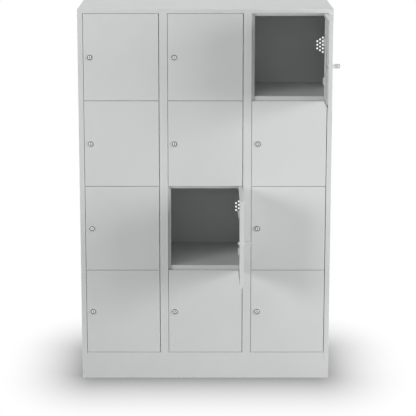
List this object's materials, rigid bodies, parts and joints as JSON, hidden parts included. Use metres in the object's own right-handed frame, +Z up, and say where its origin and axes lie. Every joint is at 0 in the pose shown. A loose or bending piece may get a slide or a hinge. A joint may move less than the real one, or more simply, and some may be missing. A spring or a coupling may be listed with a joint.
{
  "type": "compartment locker",
  "caption": "Free-standing steel compartment locker with inset right-hinged doors, turning cam locks, shelves, partitions, vented back and a full-width plinth.",
  "frame": {"origin": "middle of the plinth's underside, on the floor", "axes": "+X to the right seen from the front, +Y from the front to the back, +Z up"},
  "size_m": [1.2092, 0.8414, 1.8],
  "materials": {
    "carcass_paint": "satin powder coat",
    "door_paint": "satin powder coat",
    "lock_metal": "nickel plated",
    "key_steel": "nickel plated",
    "hinge_steel": "zinc plated"
  },
  "bodies": {
    "carcass": {"side_panel_left": "carcass_paint", "side_panel_right": "carcass_paint", "top_panel": "carcass_paint", "base_panel": "carcass_paint", "back_panel": "carcass_paint", "plinth_frame": "carcass_paint", "plinth_brace": "carcass_paint", "front_post_1": "carcass_paint", "front_post_2": "carcass_paint", "partition_1": "carcass_paint", "partition_2": "carcass_paint", "shelf_r1c1": "carcass_paint", "shelf_r1c2": "carcass_paint", "shelf_r1c3": "carcass_paint", "shelf_r2c1": "carcass_paint", "shelf_r2c2": "carcass_paint", "shelf_r2c3": "carcass_paint", "shelf_r3c1": "carcass_paint", "shelf_r3c2": "carcass_paint", "shelf_r3c3": "carcass_paint", "hinge_arms": "hinge_steel", "hinge_pins": "hinge_steel"},
    "door_r1c1": {"door_r1c1": "door_paint", "lock_barrel_r1c1": "lock_metal"},
    "lock_r1c1": {"lock_core_r1c1": "lock_metal"},
    "door_r1c2": {"door_r1c2": "door_paint", "lock_barrel_r1c2": "lock_metal"},
    "lock_r1c2": {"lock_core_r1c2": "lock_metal"},
    "door_r1c3": {"door_r1c3": "door_paint", "lock_barrel_r1c3": "lock_metal"},
    "lock_r1c3": {"lock_core_r1c3": "lock_metal", "key_r1c3": "key_steel"},
    "door_r2c1": {"door_r2c1": "door_paint", "lock_barrel_r2c1": "lock_metal"},
    "lock_r2c1": {"lock_core_r2c1": "lock_metal"},
    "door_r2c2": {"door_r2c2": "door_paint", "lock_barrel_r2c2": "lock_metal"},
    "lock_r2c2": {"lock_core_r2c2": "lock_metal"},
    "door_r2c3": {"door_r2c3": "door_paint", "lock_barrel_r2c3": "lock_metal"},
    "lock_r2c3": {"lock_core_r2c3": "lock_metal"},
    "door_r3c1": {"door_r3c1": "door_paint", "lock_barrel_r3c1": "lock_metal"},
    "lock_r3c1": {"lock_core_r3c1": "lock_metal"},
    "door_r3c2": {"door_r3c2": "door_paint", "lock_barrel_r3c2": "lock_metal"},
    "lock_r3c2": {"lock_core_r3c2": "lock_metal", "key_r3c2": "key_steel"},
    "door_r3c3": {"door_r3c3": "door_paint", "lock_barrel_r3c3": "lock_metal"},
    "lock_r3c3": {"lock_core_r3c3": "lock_metal"},
    "door_r4c1": {"door_r4c1": "door_paint", "lock_barrel_r4c1": "lock_metal"},
    "lock_r4c1": {"lock_core_r4c1": "lock_metal"},
    "door_r4c2": {"door_r4c2": "door_paint", "lock_barrel_r4c2": "lock_metal"},
    "lock_r4c2": {"lock_core_r4c2": "lock_metal"},
    "door_r4c3": {"door_r4c3": "door_paint", "lock_barrel_r4c3": "lock_metal"},
    "lock_r4c3": {"lock_core_r4c3": "lock_metal"}
  },
  "joints": [
    {"name": "door_r1c1_hinge", "type": "hinge", "parent": "carcass", "child": "door_r1c1", "pos_m": [-0.2268, -0.244, 1.5731], "axis": [0, 0, 1], "range_deg": [0, 110]},
    {"name": "lock_r1c1_turn", "type": "hinge", "parent": "door_r1c1", "child": "lock_r1c1", "pos_m": [-0.544, -0.241, 1.5731], "axis": [0, 1, 0], "range_deg": [0, 180]},
    {"name": "door_r1c2_hinge", "type": "hinge", "parent": "carcass", "child": "door_r1c2", "pos_m": [0.1702, -0.244, 1.5731], "axis": [0, 0, 1], "range_deg": [0, 110]},
    {"name": "lock_r1c2_turn", "type": "hinge", "parent": "door_r1c2", "child": "lock_r1c2", "pos_m": [-0.147, -0.241, 1.5731], "axis": [0, 1, 0], "range_deg": [0, 180]},
    {"name": "door_r1c3_hinge", "type": "hinge", "parent": "carcass", "child": "door_r1c3", "pos_m": [0.5672, -0.244, 1.5731], "axis": [0, 0, 1], "range_deg": [-90, 20]},
    {"name": "lock_r1c3_turn", "type": "hinge", "parent": "door_r1c3", "child": "lock_r1c3", "pos_m": [0.5642, -0.5612, 1.5731], "axis": [-1, 0, 0], "range_deg": [0, 180]},
    {"name": "door_r2c1_hinge", "type": "hinge", "parent": "carcass", "child": "door_r2c1", "pos_m": [-0.2268, -0.244, 1.1607], "axis": [0, 0, 1], "range_deg": [0, 110]},
    {"name": "lock_r2c1_turn", "type": "hinge", "parent": "door_r2c1", "child": "lock_r2c1", "pos_m": [-0.544, -0.241, 1.1607], "axis": [0, 1, 0], "range_deg": [0, 180]},
    {"name": "door_r2c2_hinge", "type": "hinge", "parent": "carcass", "child": "door_r2c2", "pos_m": [0.1702, -0.244, 1.1607], "axis": [0, 0, 1], "range_deg": [0, 110]},
    {"name": "lock_r2c2_turn", "type": "hinge", "parent": "door_r2c2", "child": "lock_r2c2", "pos_m": [-0.147, -0.241, 1.1607], "axis": [0, 1, 0], "range_deg": [0, 180]},
    {"name": "door_r2c3_hinge", "type": "hinge", "parent": "carcass", "child": "door_r2c3", "pos_m": [0.5672, -0.244, 1.1607], "axis": [0, 0, 1], "range_deg": [0, 110]},
    {"name": "lock_r2c3_turn", "type": "hinge", "parent": "door_r2c3", "child": "lock_r2c3", "pos_m": [0.25, -0.241, 1.1607], "axis": [0, 1, 0], "range_deg": [0, 180]},
    {"name": "door_r3c1_hinge", "type": "hinge", "parent": "carcass", "child": "door_r3c1", "pos_m": [-0.2268, -0.244, 0.7483], "axis": [0, 0, 1], "range_deg": [0, 110]},
    {"name": "lock_r3c1_turn", "type": "hinge", "parent": "door_r3c1", "child": "lock_r3c1", "pos_m": [-0.544, -0.241, 0.7483], "axis": [0, 1, 0], "range_deg": [0, 180]},
    {"name": "door_r3c2_hinge", "type": "hinge", "parent": "carcass", "child": "door_r3c2", "pos_m": [0.1702, -0.244, 0.7483], "axis": [0, 0, 1], "range_deg": [-90, 20]},
    {"name": "lock_r3c2_turn", "type": "hinge", "parent": "door_r3c2", "child": "lock_r3c2", "pos_m": [0.1672, -0.5612, 0.7483], "axis": [-1, 0, 0], "range_deg": [0, 180]},
    {"name": "door_r3c3_hinge", "type": "hinge", "parent": "carcass", "child": "door_r3c3", "pos_m": [0.5672, -0.244, 0.7483], "axis": [0, 0, 1], "range_deg": [0, 110]},
    {"name": "lock_r3c3_turn", "type": "hinge", "parent": "door_r3c3", "child": "lock_r3c3", "pos_m": [0.25, -0.241, 0.7483], "axis": [0, 1, 0], "range_deg": [0, 180]},
    {"name": "door_r4c1_hinge", "type": "hinge", "parent": "carcass", "child": "door_r4c1", "pos_m": [-0.2268, -0.244, 0.3359], "axis": [0, 0, 1], "range_deg": [0, 110]},
    {"name": "lock_r4c1_turn", "type": "hinge", "parent": "door_r4c1", "child": "lock_r4c1", "pos_m": [-0.544, -0.241, 0.3359], "axis": [0, 1, 0], "range_deg": [0, 180]},
    {"name": "door_r4c2_hinge", "type": "hinge", "parent": "carcass", "child": "door_r4c2", "pos_m": [0.1702, -0.244, 0.3359], "axis": [0, 0, 1], "range_deg": [0, 110]},
    {"name": "lock_r4c2_turn", "type": "hinge", "parent": "door_r4c2", "child": "lock_r4c2", "pos_m": [-0.147, -0.241, 0.3359], "axis": [0, 1, 0], "range_deg": [0, 180]},
    {"name": "door_r4c3_hinge", "type": "hinge", "parent": "carcass", "child": "door_r4c3", "pos_m": [0.5672, -0.244, 0.3359], "axis": [0, 0, 1], "range_deg": [0, 110]},
    {"name": "lock_r4c3_turn", "type": "hinge", "parent": "door_r4c3", "child": "lock_r4c3", "pos_m": [0.25, -0.241, 0.3359], "axis": [0, 1, 0], "range_deg": [0, 180]}
  ]
}
